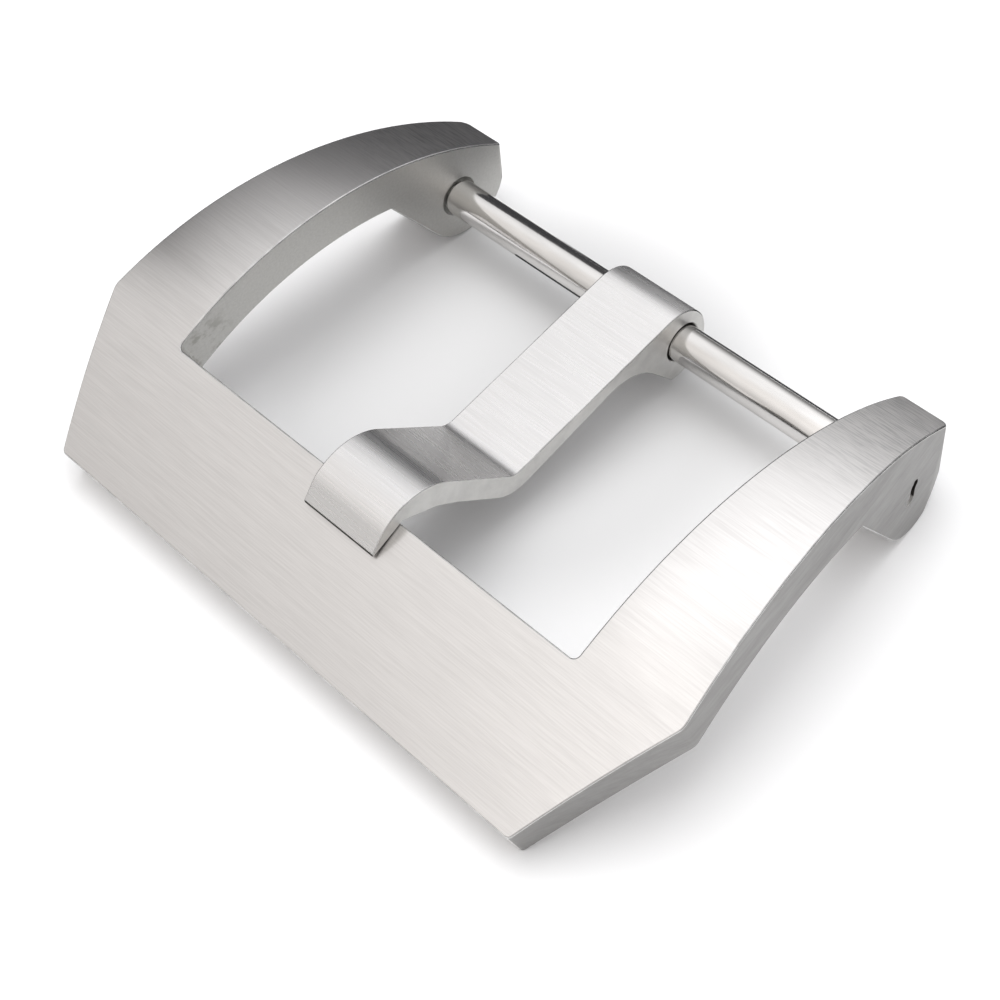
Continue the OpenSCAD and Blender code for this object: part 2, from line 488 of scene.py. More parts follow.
def roundedCorner(p, a, b, r, steps):  # arc that touches both sides of a corner, from side a to side b
    a, b = Vector(a).normalized(), Vector(b).normalized()
    half = a.angle(b) / 2
    c = cornerCentre(p, a, b, r)
    ta = Vector(p) + a * (r / math.tan(half)) - c
    tb = Vector(p) + b * (r / math.tan(half)) - c
    turn = ta.angle_signed(tb)
    points = []
    for k in range(steps + 1):
        cos, sin = math.cos(-turn * k / steps), math.sin(-turn * k / steps)
        points.append((c.x + ta.x * cos - ta.y * sin, c.y + ta.x * sin + ta.y * cos))
    return points


def crossing(p, a, q, b):  # where the line through p along a meets the line through q along b
    p, a, q, b = Vector(p), Vector(a), Vector(q), Vector(b)
    return p + a * ((q - p).cross(b) / a.cross(b))


buckle = {
    "strapWidth": 24,
    "reach": 22.35,
    "archHeight": 4.6,
    "archRadius": 19.63,
    "noseRadius": 32.8,
    "archY": -7.97,
    "meetY": -15.45,
    "metal": 2.16,
    "flare": 5.05,
    "earBack": 2.45,
    "frontExtra": 2,
    "windowLength": 16.5,
    "cornerY": -16.05,
    "frontPart": -10,
    "lean": 19.05,
    "frontFace": 1.84,
    "earRadius": 2.55,
    "earZ": 0.1,
    "rearY": 3,
    "earLean": 35.6,
    "sideBow": 0.15,
    "cornerRound": 0.8,
    "frontRound": 0.3,
    "windowRound": 0.3,
    "earOuterRound": 0.7,
    "earInnerRound": 0.3,
    "earTopRound": 0.3,
    "earLevel": 0.6,  # height at which the ear's outer round is placed
    "edgeBreak": 0.07,
    "breakOver": 28,  # degrees between two faces
    "roll": (0.13, 0.03),
    "rollAlong": (-16.5, -13.5, -8),
    "rollWide": 0.2,
    "step": 0.45,
    "freeShare": 0.45,  # of a step, without another station on either side
    "leastStep": 0.02,
    "arcSteps": {"front": 4, "corner": 6, "window": 6, "earOuter": 6, "earInner": 4, "earTop": 4},
    "sameEnd": 0.001,
    "sameCut": 0.005,
    "samePoint": 0.004,
    "flat": 0.04,  # degrees
    "lobeTurns": (200, 206, 213, 220, 228, 236, 245, 254, 263, 272, 281, 290, 300, 310, 320, 331),
}


class FrameShape:  # the side view and the plan, on axes that follow the leaning cut
    def __init__(self, b):
        self.b = b
        lean = math.radians(b["lean"])
        self.c, self.s = math.cos(lean), math.sin(lean)
        self.drawSide()
        self.drawPlan()
        self.listFaces()

    def drawSide(self):  # all as (y, z)
        b = self.b
        self.arch = Vector((b["archY"], b["archHeight"] - b["archRadius"]))
        dy = b["meetY"] - b["archY"]
        self.normal = Vector((dy, math.sqrt(b["archRadius"] ** 2 - dy * dy))) / b["archRadius"]
        self.nose = self.arch + self.normal * (b["archRadius"] - b["noseRadius"])
        self.innerRadius = b["archRadius"] - b["metal"]
        self.underStart = self.arch + self.normal * self.innerRadius
        foot = Vector((-b["reach"], self.noseZ(-b["reach"]))) + Vector((self.s, -self.c)) * b["frontFace"]
        gap = self.underStart - foot
        self.underRadius = gap.length_squared / (2 * gap.dot(self.normal))
        self.under = self.underStart - self.normal * self.underRadius
        self.ear = Vector((b["rearY"] - b["earRadius"], b["earZ"]))
        earLean = math.radians(b["earLean"])
        self.earFoot = self.ear - Vector((math.cos(earLean), math.sin(earLean))) * b["earRadius"]
        self.earRun = Vector((-math.sin(earLean), math.cos(earLean)))
        toArch = self.earFoot - self.arch
        half = toArch.dot(self.earRun)
        reach = -half + math.sqrt(half * half - toArch.length_squared + self.innerRadius**2)
        self.notch = self.earFoot + self.earRun * reach
        rise = math.sqrt(b["archRadius"] ** 2 - (b["rearY"] - self.arch.x) ** 2)
        self.topBack = Vector((b["rearY"], self.arch.y + rise))

    def drawPlan(self):  # all as (x, v), with v the way along the leaning cut
        b = self.b
        self.inner = b["strapWidth"] / 2
        self.front = (self.inner + b["frontExtra"], self.v(-b["reach"], self.noseZ(-b["reach"])))
        self.corner = (self.inner + b["flare"], self.v(b["cornerY"], self.noseZ(b["cornerY"])))
        self.back = (self.inner + b["earBack"], self.v(*self.topBack))
        self.windowV = self.v(-b["windowLength"], self.noseZ(-b["windowLength"]))
        # the sides bow out a little between corner and back
        run = Vector(self.back) - Vector(self.corner)
        self.bowRadius = (run.length_squared / 4 + b["sideBow"] ** 2) / (2 * b["sideBow"])
        out = Vector((run.y, -run.x)).normalized()
        self.bow = (Vector(self.corner) + Vector(self.back)) / 2 - out * (self.bowRadius - b["sideBow"])
        self.chamfer = Vector(self.corner) - Vector(self.front)
        ahead = 0.5
        sideRun = Vector((self.outX(self.corner[1] + ahead) - self.corner[0], ahead))
        self.planCorners = {
            "front": (self.front, (-1, 0), self.chamfer, b["frontRound"]),
            "corner": (self.corner, -self.chamfer, sideRun, b["cornerRound"]),
            "window": ((self.inner, self.windowV), (0, 1), (-1, 0), b["windowRound"]),
        }

    def listFaces(self):  # centre, radius and side of every arc, and the flat faces' normals
        b = self.b
        self.sideArcs = [
            (self.arch, b["archRadius"], 1),
            (self.nose, b["noseRadius"], 1),
            (self.under, self.underRadius, -1),
            (self.arch, self.innerRadius, -1),
            (self.ear, b["earRadius"], 1),
        ]
        self.planArcs = [(self.bow, self.bowRadius, 1)]
        for name, corner in self.planCorners.items():
            self.planArcs.append((cornerCentre(*corner), corner[-1], -1 if name == "window" else 1))
        self.flats = [
            Vector((0, 1, 0)),
            Vector((-1, 0, 0)),
            Vector((0, self.c, self.s)),
            Vector((0, -self.c, -self.s)),
            Vector((self.chamfer.y, -self.chamfer.x * self.c, -self.chamfer.x * self.s)).normalized(),
            Vector((0, -self.earRun.y, self.earRun.x)),
        ]

    def noseZ(self, y):
        return self.nose.y + math.sqrt(self.b["noseRadius"] ** 2 - (y - self.nose.x) ** 2)

    def v(self, y, z):
        return y * self.c + z * self.s

    def w(self, y, z):
        return z * self.c - y * self.s

    def yz(self, v, w):
        return v * self.c - w * self.s, v * self.s + w * self.c

    def onCircle(self, centre, radius, v, sign=1):
        cv, cw = self.v(*centre), self.w(*centre)
        return cw + sign * math.sqrt(max(0, radius * radius - (v - cv) ** 2))

    def outX(self, v):
        return self.bow.x + math.sqrt(self.bowRadius**2 - (v - self.bow.y) ** 2)

    def top(self, v):
        meet = self.arch + self.normal * self.b["archRadius"]
        if v > self.v(*meet):
            return self.onCircle(self.arch, self.b["archRadius"], v)
        return self.onCircle(self.nose, self.b["noseRadius"], v)

    def bottom(self, v):
        b = self.b
        if v < self.v(*self.underStart):
            return self.onCircle(self.under, self.underRadius, v)
        if v < self.v(*self.notch):
            return self.onCircle(self.arch, self.innerRadius, v)
        if v < self.v(*self.earFoot):
            k = (v - self.v(*self.notch)) / (self.v(*self.earFoot) - self.v(*self.notch))
            return self.w(*self.notch) + k * (self.w(*self.earFoot) - self.w(*self.notch))
        if v < self.v(b["rearY"], b["earZ"]):
            return self.onCircle(self.ear, b["earRadius"], v, -1)
        return (v * self.c - b["rearY"]) / self.s

    def surfaceAt(self, p, face):  # normal of the real surface at a point, for a face of the mesh
        side = 1 if p.x > 0 else -1
        x, v = abs(p.x), self.v(p.y, p.z)
        found = [Vector((side * n.x, n.y, n.z)) for n in self.flats]
        for centre, radius, sign in self.sideArcs:
            out = Vector((0, p.y - centre.x, p.z - centre.y))
            if abs(out.length - radius) < shading["onSurface"]:
                found.append(out * sign)
        for centre, radius, sign in self.planArcs:
            out = Vector((side * (x - centre.x), (v - centre.y) * self.c, (v - centre.y) * self.s))
            if abs(out.length - radius) < shading["onSurface"]:
                found.append(out * sign)
        best = max((n.normalized() for n in found), key=lambda n: n.dot(face))
        if best.dot(face) < shading["frameAgrees"]:
            return None
        if face.z > 0.5 and x > self.outX(v) - self.b["rollWide"]:
            best = self.rolled(best, side, p.y)
        return best

    def rolled(self, normal, side, y):  # polishing rolls the arms' tops outward at their outer edge
        (start, most, end), (full, rear) = self.b["rollAlong"], self.b["roll"]
        rise, fall = (max(0, min(1, t)) for t in ((y - start) / (most - start), (y - most) / (end - most)))
        return (normal + Vector((side * rise * (full + (rear - full) * fall), 0, 0))).normalized()


def frameStations(s, plan):  # where the side view or the plan turns, with steps between
    b = s.b
    backV = s.v(b["rearY"], b["earZ"])
    keys = [v for x, v in plan]
    keys += [s.v(*s.underStart), s.v(b["meetY"], s.noseZ(b["meetY"])), s.v(*s.notch), s.v(*s.earFoot)]
    keys += [backV, (backV + s.back[1]) / 2, s.back[1]]
    keys += [s.v(*s.ear) + b["earRadius"] * math.cos(math.radians(a)) for a in b["lobeTurns"]]
    stations = sorted(set(round(k, 4) for k in keys))
    v = s.front[1]
    while v < s.back[1]:
        if min(abs(v - k) for k in stations) > b["step"] * b["freeShare"]:
            stations.append(round(v, 4))
        v += b["step"]
    stations.sort()
    kept = [stations[0]]
    for k in stations[1:]:
        if k - kept[-1] > b["leastStep"]:
            kept.append(k)
    return kept


def shaveEdge(bm, centre, direction, up, span, steps, radius):
    # rounds an edge of the ear with a few flat cuts: centre is the arc's, direction turns about up
    for k in range(steps):
        n = Vector(direction)
        n.rotate(Quaternion(up, math.radians(span * (k + 0.5) / steps)))
        ear = [f for f in bm.faces if f.calc_center_median().y > 0]  # only the ears reach behind the bar
        parts = dict.fromkeys(part for f in ear for part in (f, *f.edges, *f.verts))
        touch = Vector(centre) + n * radius
        made = bmesh.ops.bisect_plane(
            bm, geom=list(parts), dist=hair, plane_co=touch, plane_no=n, clear_outer=True
        )
        edges = pick(made["geom_cut"], bmesh.types.BMEdge)
        if edges:
            bmesh.ops.holes_fill(bm, edges=edges, sides=0)


def roundEarBack(bm, s):  # outer, inner and top edge of the ear's back
    b, steps = s.b, s.b["arcSteps"]
    rear, level = b["rearY"], b["earLevel"]
    r = b["earOuterRound"]
    rearX = s.outX(s.v(rear, level))
    out = Vector((1, s.outX(s.v(rear - 1, level)) - rearX, 0)).normalized()
    up = Vector((s.outX(s.v(rear, 1)) - s.outX(s.v(rear, 0)), 0, 1)).normalized()
    centre = (rearX - (r - r * out.y) / out.x, rear - r, level)
    shaveEdge(bm, centre, out, up, math.degrees(math.acos(out.y)), steps["earOuter"], r)
    r = b["earInnerRound"]
    shaveEdge(bm, (s.inner + r, rear - r, 0), (0, 1, 0), (0, 0, 1), 90, steps["earInner"], r)
    r = b["earTopRound"]
    top = (s.topBack - s.arch).normalized()
    y, z = crossing((rear - r, 0), (0, 1), s.topBack - top * r, (top.y, -top.x))
    shaveEdge(bm, (0, y, z), (0, 1, 0), (1, 0, 0), math.degrees(math.acos(top.x)), steps["earTop"], r)


def makeFrame(s, materials):
    b, steps = s.b, s.b["arcSteps"]
    top, side, wall, edge = range(4)  # places in the list of materials
    # half of the plan, front middle first, anticlockwise
    corner = roundedCorner(*s.planCorners["corner"], steps["corner"])
    outer = [(0, s.front[1])] + roundedCorner(*s.planCorners["front"], steps["front"]) + corner
    hole = roundedCorner(*s.planCorners["window"], steps["window"])
    stations = frameStations(s, outer + hole)
    first, last = corner[-1][1] + b["leastStep"], s.back[1] - b["sameEnd"]
    bowed = [(s.outX(v), v) for v in stations if first < v < last]
    plan = outer + bowed + [s.back, (s.inner, s.back[1])] + hole + [(0, s.windowV)]
    bm = bmesh.new()
    bm.faces.new([bm.verts.new((x, v, 0)) for x, v in plan])
    for v in stations[1:-1]:
        bmesh.ops.bisect_plane(
            bm, geom=everything(bm), dist=b["sameCut"], plane_co=(0, v, 0), plane_no=(0, 1, 0)
        )

    # the plan is pulled up and both sheets take the side view's heights
    raised = bmesh.ops.extrude_face_region(bm, geom=bm.faces[:])
    tops = set(pick(raised["geom"], bmesh.types.BMVert))
    for vert in bm.verts:
        v = vert.co.y
        vert.co.y, vert.co.z = s.yz(v, s.top(v) if vert in tops else s.bottom(v))
    bmesh.ops.remove_doubles(bm, verts=bm.verts, dist=b["samePoint"])
    # the middle wall is left by the extrusion and goes before the halves are joined
    middle = [f for f in bm.faces if all(abs(q.co.x) < hair for q in f.verts)]
    bmesh.ops.delete(bm, geom=middle, context="FACES_ONLY")
    bmesh.ops.recalc_face_normals(bm, faces=bm.faces)
    bm = inOrder(bm)
    roundEarBack(bm, s)
    bmesh.ops.mirror(bm, geom=everything(bm), axis="X", merge_dist=b["sameEnd"])
    bmesh.ops.recalc_face_normals(bm, faces=bm.faces)
    bmesh.ops.dissolve_limit(bm, angle_limit=math.radians(b["flat"]), verts=bm.verts, edges=bm.edges)

    for f in bm.faces:
        n, c = f.normal, f.calc_center_median()
        if abs(n.x) > sideFacing:
            f.material_index = side if n.x * c.x > 0 else wall
        elif n.y > sideFacing and c.y < b["frontPart"]:  # the window's front wall
            f.material_index = wall
        else:
            f.material_index = top
    sharpest = math.radians(b["breakOver"])
    sharp = [e for e in bm.edges if len(e.link_faces) == 2 and e.calc_face_angle() > sharpest]
    breakEdges(bm, sharp, b["edgeBreak"], edge, clamp=False)
    markGrain(bm, {f for f in bm.faces if abs(f.normal.x) > sideFacing})
    piece = finishPiece(bm, "frame_body", "frame", materials)
    drillEars(piece, wall)
    trueShading(piece, s.surfaceAt, edge)
    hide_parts("frame")
    print("frame made,", len(piece.data.polygons), "faces")


tongueSizes = {
    "width": 4.2,
    "shift": 0.25,
    "thick": 1.09,
    "eye": (-0.45, -0.02),
    "eyeRadius": 1.9,
    "eyeHole": 0.96,
    "eyeFlat": 1.44,
    "flatTurn": 221,
    "bend": (-10.39, 0.12),
    "bendRadius": 0.9,
    "slope": 39,
    "crestRadius": 2.73,
    "eyeBlend": 2.6,
    "underRun": (1, 0.235),
    "tipY": -18.12,
    "tipThick": 0.7,
    "tipLift": 0.13,
    "tipRound": 1.6,
    "tipTurn": 50,
    "tipEdge": 0.16,
    "tipRun": 0.6,
    "footDeep": 0.12,
    "footFacing": (0.3, 0.7),  # the least share of the front and the most of X in its normal
    "grainFacing": 0.7,
    "holeClear": 1,
    "seatY": -16.4,
    "restGap": 0.03,
    "hollow": (-14.6, -13.6),
    "hollowDeep": 0.12,
    "edgeBreak": 0.05,
    "breakOver": 40,  # degrees between two faces
    "holeBreak": 0.05,
    "holeSteps": 64,
    "arcSteps": {"bend": 10, "crest": 14, "tip": 8, "underBend": 10, "underEye": 6, "eye": 40},
}


def tongueOutline(shape):  # side view as (y, z), clockwise from the top of the eye, and its arcs
    t, steps = tongueSizes, tongueSizes["arcSteps"]
    eye, bend = Vector(t["eye"]), Vector(t["bend"])
    toEye = eye - bend
    stripTurn = math.asin(t["eyeRadius"] / toEye.length) + math.atan2(toEye.y, toEye.x)
    strip = Vector((math.cos(stripTurn), math.sin(stripTurn)))
    slopeTurn = math.radians(t["slope"])
    slope = Vector((-math.cos(slopeTurn), math.sin(slopeTurn)))
    stripIn = Vector((strip.y, -strip.x))
    slopeIn = Vector((-slope.y, slope.x))
    underBend = crossing(bend + stripIn * t["thick"], strip, bend + slopeIn * t["thick"], slope)
    under = Vector(t["underRun"]).normalized()

    # the tip lies along the plate and is ground down to its edge
    tipBack = t["tipY"] + t["tipRun"]
    seatRun = Vector((shape.noseZ(tipBack) - shape.nose.y, shape.nose.x - tipBack)).normalized()
    tipFoot = Vector((t["tipY"], shape.noseZ(t["tipY"]) + t["tipLift"]))
    tipEnd = tipFoot + Vector((0, t["tipEdge"]))
    tipTurn = math.radians(t["tipTurn"])
    tipRun = Vector((-math.cos(tipTurn), -math.sin(tipTurn)))
    tipTop = crossing(tipEnd, tipRun, tipFoot + Vector((0, t["tipThick"])), seatRun)
    crest = crossing(bend, slope, tipTop, seatRun)
    seat = (t["seatY"], shape.noseZ(t["seatY"]) + t["restGap"])

    # a flat under the eye runs into the strip's underside
    flatTurn = math.radians(t["flatTurn"])
    flatOut = Vector((math.cos(flatTurn), math.sin(flatTurn)))
    flatRun = Vector((-flatOut.y, flatOut.x))
    underEye = crossing(underBend, under, eye + flatOut * t["eyeFlat"], flatRun)

    corners = {
        "bend": (bend, strip, slope, t["bendRadius"]),
        "crest": (crest, -slope, -seatRun, t["crestRadius"]),
        "underBend": (underBend, slope, under, t["bendRadius"] + t["thick"]),
        "underEye": (underEye, -under, flatRun, t["eyeBlend"]),
        "tip": (tipTop, seatRun, tipRun, t["tipRound"]),
    }
    arcs = []
    for name, corner in corners.items():
        arcs.append((cornerCentre(*corner), corner[-1], -1 if name in ("bend", "underEye") else 1))
    arcs.append((eye, t["eyeRadius"], 1))

    points = []
    for name in ("bend", "crest", "tip"):
        points += roundedCorner(*corners[name], steps[name])
    points += [tuple(tipEnd), tuple(tipFoot), seat]
    for y, deep in zip(t["hollow"], (t["hollowDeep"], 0)):
        points.append((y, underBend.y + (underBend.x - y) * math.tan(slopeTurn) - deep))
    for name in ("underBend", "underEye"):
        points += roundedCorner(*corners[name], steps[name])
    start, end = flatTurn + math.acos(t["eyeFlat"] / t["eyeRadius"]) - math.tau, stripTurn + math.pi / 2
    for k in range(steps["eye"] + 1):
        a = start + (end - start) * k / steps["eye"]
        points.append((eye.x + t["eyeRadius"] * math.cos(a), eye.y + t["eyeRadius"] * math.sin(a)))
    return points, arcs


def tongueSurface(arcs, p, face):  # normal of the real surface at a point, for a face of the mesh
    best = face
    for centre, radius, sign in arcs:
        out = Vector((0, p.y - centre.x, p.z - centre.y))
        n = out.normalized() * sign
        if abs(out.length - radius) < shading["onSurface"] and n.dot(face) > shading["tongueAgrees"]:
            best = n
    return best.copy()


def makeTongue(shape, materials):
    t = tongueSizes
    top, side, edge, foot = range(4)  # places in the list of materials
    points, arcs = tongueOutline(shape)
    left, right = t["shift"] - t["width"] / 2, t["shift"] + t["width"] / 2
    bm = slab(points, left, t["width"])
    bmesh.ops.recalc_face_normals(bm, faces=bm.faces)
    ends = [f for f in bm.faces if abs(f.normal.x) > endFacing]
    for f in bm.faces:
        f.material_index = side if f in ends else top
    sharpest = math.radians(t["breakOver"])
    rim = {e for f in ends for e in f.edges}
    sharp = [e for e in bm.edges if e in rim or e.calc_face_angle() > sharpest]
    breakEdges(bm, sharp, t["edgeBreak"], edge, clamp=True)
    footY, footZ = t["tipY"] + t["footDeep"], shape.noseZ(t["tipY"]) + t["tipLift"] + t["tipEdge"]
    ahead, across = t["footFacing"]
    for f in bm.faces:  # painted contact shadow on the thin end of the tip
        n, c = f.normal, f.calc_center_median()
        if c.y < footY and c.z < footZ and n.y < -ahead and abs(n.x) < across:
            f.material_index = foot
    markGrain(bm, {f for f in bm.faces if abs(f.normal.x) > t["grainFacing"]})
    piece = finishPiece(bm, "tongue_body", "tongue", materials)
    hole, chamfer = t["eyeHole"], t["holeBreak"]
    mouth, start, end = hole + chamfer, left - t["holeClear"], right + t["holeClear"]
    profile = [(start, 0), (start, mouth), (left, mouth), (left + chamfer, hole)]
    profile += [(right - chamfer, hole), (right, mouth), (end, mouth), (end, 0)]
    cutAway(piece, roundStack(profile, t["holeSteps"]), side)
    trueShading(piece, lambda p, face: tongueSurface(arcs, p, face), edge)
    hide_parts("tongue")
    print("tongue made,", len(piece.data.polygons), "faces")


bar = {
    "radius": 0.88,
    "endGap": 0.03,
    "chamfer": 0.06,
    "boreRadius": 0.53,
    "boreExtra": 0.6,
    "steps": 96,
}


def makeBar(materials):
    half = buckle["strapWidth"] / 2 - bar["endGap"]
    floor = half - screwSizes["grip"] - bar["boreExtra"]
    bore, r, c = bar["boreRadius"], bar["radius"], bar["chamfer"]
    right = [(floor, 0), (floor, bore), (half, bore), (half, r - c), (half - c, r)]
    bm = roundStack(right + [(-x, y) for x, y in reversed(right)], bar["steps"])
    markGrain(bm, set())
    piece = finishPiece(bm, "bar_body", "frame", materials)
    smoothShading(piece)
    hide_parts("bar_tube")
    print("bar made")


screwSizes = {
    "shank": 0.5,
    "point": 0.1,
    "head": 0.65,
    "headLeast": 0.2,  # a face this far above the seat belongs to the outer face
    "overshoot": 1,  # cut off by the ear's leaning face
    "headSeat": 13.3475,
    "grip": 3.2,
    "steps": 48,
    "slotWide": 0.4,
    "slotDeep": 0.18,
    "slotLong": 1.24,
    "slotSway": 0.06,
    "slotSteps": (12, 6),
    "slotClear": 4,
    "rightTurn": 58.6,
    "leftTurn": 24,
    "free": 0.004,
    "shankFree": 0.03,
    "mouth": 1.025,
    "mouthDeep": 0.3,
    "drillFrom": -0.5,  # the drill stands clear of the ear at both ends
    "drillTo": 8,
    "holeSteps": 64,
}


def slotCutter(depthX, turn):  # a slot with a slight S, its ends rounded, sunk along X
    s = screwSizes
    wide = s["slotWide"] / 2
    run = s["slotLong"] / 2 - wide
    runSteps, endSteps = s["slotSteps"]
    spots = []
    for side in (1, -1):
        for k in range(runSteps + 1):
            along = side * run * (2 * k / runSteps - 1)
            spots.append((along, side * wide + s["slotSway"] * math.sin(math.pi * along / run)))
        for k in range(1, endSteps):
            a = math.pi / 2 - math.pi * k / endSteps
            spots.append((side * (run + wide * math.cos(a)), side * wide * math.sin(a)))
    bm = slab(spots, depthX, s["slotClear"])
    bmesh.ops.rotate(bm, cent=(0, 0, 0), matrix=Matrix.Rotation(math.radians(turn), 3, "X"), verts=bm.verts)
    return bm


def makeScrew(shape, side, materials):  # side is 1 for the right ear, -1 for the left
    s = screwSizes
    steel, headFace, slotFloor = range(3)  # places in the list of materials
    outer = shape.outX(0)
    start = shape.inner - s["grip"]
    seat, end = s["headSeat"], outer + s["overshoot"]
    profile = [(start, 0), (start, s["shank"] - s["point"]), (start + s["point"], s["shank"])]
    profile += [(seat, s["shank"]), (seat, s["head"]), (end, s["head"]), (end, 0)]
    bm = roundStack(profile, s["steps"])
    # the head ends flush with the ear's leaning face
    lean = shape.outX(-0.5) - shape.outX(0.5)
    face = Vector((1, lean * shape.c, lean * shape.s)).normalized()
    made = bmesh.ops.bisect_plane(
        bm, geom=everything(bm), dist=hair, plane_co=(outer, 0, 0), plane_no=face, clear_outer=True
    )
    bmesh.ops.holes_fill(bm, edges=pick(made["geom_cut"], bmesh.types.BMEdge), sides=0)
    slot = slotCutter(outer - s["slotDeep"], s["rightTurn"] if side > 0 else s["leftTurn"])
    if side < 0:
        for shapeOf in (bm, slot):
            bmesh.ops.scale(shapeOf, vec=(-1, 1, 1), verts=shapeOf.verts)
    bmesh.ops.recalc_face_normals(bm, faces=bm.faces)
    for f in bm.faces:
        outside = abs(f.normal.x) > endFacing and abs(f.calc_center_median().x) > seat + s["headLeast"]
        f.material_index = headFace if outside else steel
    markGrain(bm, set(bm.faces))
    name = "screw_right" if side > 0 else "screw_left"
    piece = finishPiece(bm, name + "_body", name, materials)
    cutAway(piece, slot, slotFloor)
    smoothShading(piece)
    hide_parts(name)


def drillEars(piece, finish):  # mouth for the tube, shank and head, in both ears
    s = screwSizes
    inner = buckle["strapWidth"] / 2
    shank, head = s["shank"] + s["shankFree"], s["head"] + s["free"]
    mouth, deep, seat = s["mouth"], s["mouthDeep"], s["headSeat"] - s["shankFree"]
    start, end = inner + s["drillFrom"], inner + s["drillTo"]
    profile = [(start, 0), (start, mouth), (inner, mouth), (inner + deep, mouth - deep)]
    profile += [(inner + deep, shank), (seat, shank), (seat, head), (end, head), (end, 0)]
    for side in (1, -1):
        cutAway(piece, roundStack([(side * x, r) for x, r in profile], s["holeSteps"]), finish)


floorLook = {
    "height": -2.475,
    "half": 1500,
    "colour": (0.89, 0.893, 0.9),
    "rough": 0.8,
    "shine": 0.1,
    "near": 0.74,  # painted shade: the floor under the buckle is greyer
    "paintedShadeAt": (-3, -6),
    "paintedShadeReach": (9, 15),
    "lift": 0.03,
}


def makeFloor():
    bm = bmesh.new()
    bmesh.ops.create_grid(bm, x_segments=1, y_segments=1, size=floorLook["half"] * mm)
    bmesh.ops.translate(bm, vec=(0, 0, floorLook["height"] * mm), verts=bm.verts)
    floor = toObject(bm, "floor")
    material = bpy.data.materials.new("floorPaint")
    material.use_nodes = True
    tree = material.node_tree
    shader = tree.nodes["Principled BSDF"]
    # painted shade: the floor's colour is greyer near the buckle and fades to full between the two reaches
    away = distanceTo(tree, (*floorLook["paintedShadeAt"], floorLook["height"]))
    start, end = floorLook["paintedShadeReach"]
    paintedShade = spread(tree, away, start * mm, end * mm, floorLook["near"], 1, "SMOOTHSTEP")
    tree.links.new(scaled(tree, floorLook["colour"], paintedShade), shader.inputs["Base Color"])
    shader.inputs["Roughness"].default_value = floorLook["rough"]
    shader.inputs["Specular IOR Level"].default_value = floorLook["shine"]
    # a faint lift for the camera, metal and glass, so the floor meets the white background
    path = tree.nodes.new("ShaderNodeLightPath").outputs
    mirrored = reckon(tree, "ADD", path["Is Glossy Ray"], path["Is Transmission Ray"])
    seen = reckon(tree, "ADD", path["Is Camera Ray"], mirrored, clamp=True)
    lift = tree.nodes.new("ShaderNodeEmission")
    lift.inputs["Color"].default_value = (1, 1, 1, 1)
    tree.links.new(reckon(tree, "MULTIPLY", seen, floorLook["lift"]), lift.inputs["Strength"])
    both = tree.nodes.new("ShaderNodeAddShader")
    tree.links.new(shader.outputs[0], both.inputs[0])
    tree.links.new(lift.outputs[0], both.inputs[1])
    tree.links.new(both.outputs[0], tree.nodes["Material Output"].inputs["Surface"])
    floor.data.materials.append(material)


light = {  # directions run from -1 to 1 on X, Y and Z
    "front": (0.98, 0.955, 0.935),
    "back": (1.12, 1.12, 1.13),
    "frontToBack": (-0.45, 0.2),
    "across": ((-0.8, 0.75), (-0.64, 0.97), (-0.5, 1.02), (-0.44, 1.03), (-0.36, 1.5), (0.2, 1.0)),
    "headroom": 2,  # levels are divided by this to keep the colour ramp within 1, then multiplied again
    "cornerDark": 0.35,
    "cornerSlant": -0.2,
    "cornerAcross": (-0.75, -0.59),
    "cornerAlong": (-0.2, 0.1),
    "horizon": 0.2,
    "frontHorizon": 0.68,
    "horizonAlong": (-0.65, -0.1),
    "rise": (0.18, 0.77),
    "keyPlace": (-0.24, 0.18, 1.32),
    "keySize": 1.2,
    "keyPower": 8.1,
}


def setWorld():  # white to the camera, a studio's shades to the metal
    world = bpy.data.worlds.new("world")
    bpy.context.scene.world = world
    world.use_nodes = True
    tree = world.node_tree
    split = tree.nodes.new("ShaderNodeSeparateXYZ")
    tree.links.new(tree.nodes.new("ShaderNodeTexCoord").outputs["Generated"], split.inputs[0])
    x, y, z = split.outputs

    def soft(source, ends, low=0, high=1):
        return spread(tree, source, *ends, low, high, "SMOOTHSTEP")

    tone = blend(tree, soft(y, light["frontToBack"]), (*light["front"], 1), (*light["back"], 1))
    across = tree.nodes.new("ShaderNodeValToRGB")
    stops = across.color_ramp.elements
    while len(stops) < len(light["across"]):
        stops.new(0.5)
    for stop, (place, level) in zip(stops, light["across"]):
        stop.position = (place + 1) / 2
        stop.color = (*[level / light["headroom"]] * 3, 1)
    tree.links.new(spread(tree, x, -1, 1), across.inputs["Fac"])
    # the back left corner is darker
    slant = reckon(tree, "MULTIPLY_ADD", y, light["cornerSlant"], x)
    inCorner = soft(slant, light["cornerAcross"], 1, 0)
    corner = reckon(tree, "MULTIPLY", inCorner, soft(y, light["cornerAlong"], 0, light["cornerDark"]))
    level = reckon(tree, "MULTIPLY", across.outputs["Color"], reckon(tree, "SUBTRACT", 1, corner))
    # and all of it fades toward the horizon, less in front
    front, back = light["headroom"] * light["frontHorizon"], light["headroom"] * light["horizon"]
    low = soft(y, light["horizonAlong"], front, back)
    level = reckon(tree, "MULTIPLY", level, soft(z, light["rise"], low, light["headroom"]))
    seen = tree.nodes.new("ShaderNodeLightPath").outputs["Is Camera Ray"]
    shown = blend(tree, seen, scaled(tree, tone, level), (1, 1, 1, 1))
    tree.links.new(shown, tree.nodes["Background"].inputs["Color"])


def addKey():  # broad soft lamp from above, which gives the shadows their side
    data = bpy.data.lights.new("key", "AREA")
    data.size = light["keySize"]
    data.energy = light["keyPower"]
    lamp = bpy.data.objects.new("key", data)
    lamp.location = light["keyPlace"]
    lamp.rotation_euler = Vector(light["keyPlace"]).to_track_quat("Z", "Y").to_euler()
    bpy.context.scene.collection.objects.link(lamp)
    lamp.visible_glossy = False


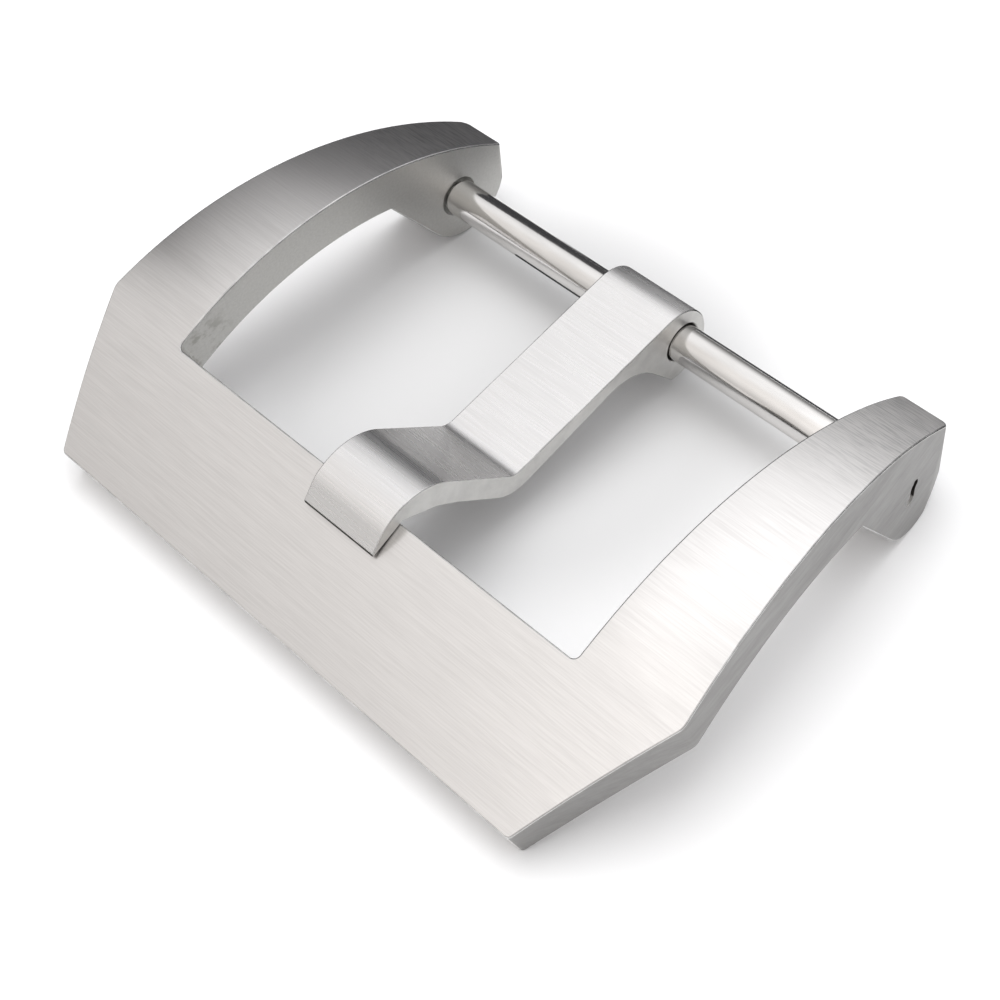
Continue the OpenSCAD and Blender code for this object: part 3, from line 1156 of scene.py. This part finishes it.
darkGrey, warmGrey = (0.06, 0.06, 0.065), (0.06, 0.055, 0.055)
# the dark sheet on the table, seen only in the metal, is painted shade behind and under the bar
shadeSheetZ = -2.44
shadeSheet = (
    (-60, 8), (-8.8, 8), (-8.8, -1.5), (-3, -1.5), (-3, 5), (13, 5), (13, 9), (60, 9), (60, 60), (-60, 60)
)
cards = {  # shade, then corners in millimetres
    "leftCard": (
        darkGrey,
        ((-45, -14, -2.4), (-45, 75, -2.4), (-45, 75, 52), (-45, 40, 46), (-45, 12, 36), (-45, -14, 24)),
    ),
    "backTableShade": (darkGrey, [(x, y, shadeSheetZ) for x, y in shadeSheet]),
    "frontCard": (warmGrey, ((-110, -70, -2.4), (-110, -70, 3.5), (60, -70, 3.5), (60, -70, -2.4))),
}


def addCard(name, shade, corners):  # a dark card, seen only in the metal; the one on the table is painted shade
    bm = bmesh.new()
    bm.faces.new([bm.verts.new([c * mm for c in spot]) for spot in corners])
    card = toObject(bm, name)
    material = bpy.data.materials.new(name)
    material.use_nodes = True
    tree = material.node_tree
    glow = tree.nodes.new("ShaderNodeEmission")
    glow.inputs["Color"].default_value = (*shade, 1)
    tree.links.new(glow.outputs[0], tree.nodes["Material Output"].inputs["Surface"])
    card.data.materials.append(material)
    card.visible_camera = False
    card.visible_diffuse = False
    card.visible_shadow = False


steels = {
    "top": brushedTop(),
    "side": brushedSideShade(),
    "inside": mattInside(),
    "edge": brokenEdge(),
    "tongueTop": brushedTongue(),
    "tongueSide": tongueSide(),
    "tube": polishedTube(),
    "screw": screwSteel(),
    "foot": tipPaintedShadow(),
    "slot": slotPaintedLight(),
}
print("materials made")

buckleShape = FrameShape(buckle)
makeFrame(buckleShape, [steels[name] for name in ("top", "side", "inside", "edge")])
makeTongue(buckleShape, [steels[name] for name in ("tongueTop", "tongueSide", "edge", "foot")])
makeBar([steels["tube"]])
for ear in (1, -1):
    makeScrew(buckleShape, ear, [steels[name] for name in ("screw", "side", "slot")])
print("screws made")

for node in ("frame", "tongue", "bar_tube", "screw_left", "screw_right"):
    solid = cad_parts[node].data
    solid.materials.clear()
    solid.materials.append(steels["inside"])

makeFloor()
setWorld()
addKey()
for name, (shade, corners) in cards.items():
    addCard(name, shade, corners)
bpy.context.scene.view_settings.view_transform = "Standard"
print("floor and light set")
